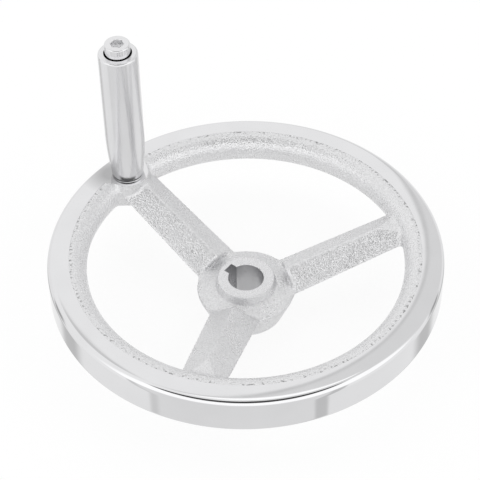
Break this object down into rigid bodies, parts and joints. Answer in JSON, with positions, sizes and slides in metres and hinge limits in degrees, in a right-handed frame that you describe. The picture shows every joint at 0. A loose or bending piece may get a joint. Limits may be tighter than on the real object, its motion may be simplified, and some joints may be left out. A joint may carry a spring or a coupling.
{
  "type": "machine handwheel",
  "caption": "Dished handwheel with spokes, keyed bore hub and a revolving crank handle on its rim.",
  "frame": {"origin": "centre of the bore on the hub's back face, which is also the middle of the part's lowest face", "axes": "+Z along the bore towards the operator; +X to the right and +Y away from the viewer as pictured; the handle stands at 136 degrees from +X"},
  "size_m": [0.2, 0.2, 0.1306],
  "materials": {
    "wheel_casting": "chrome plated cast iron: rim and hub faces turned and polished, spokes, shoulder and inner rim left as cast",
    "handle_sleeve": "polished chrome",
    "handle_spacer": "drawn steel tube",
    "handle_screw": "bright plated steel"
  },
  "bodies": {
    "wheel": {"wheel_casting": "wheel_casting", "handle_spacer": "handle_spacer", "handle_screw": "handle_screw"},
    "handle": {"handle_sleeve": "handle_sleeve"}
  },
  "joints": [
    {"name": "handle_spin", "type": "hinge", "parent": "wheel", "child": "handle", "pos_m": [-0.06122, 0.05912, 0.0849], "axis": [0, 0, 1], "continuous": true}
  ]
}
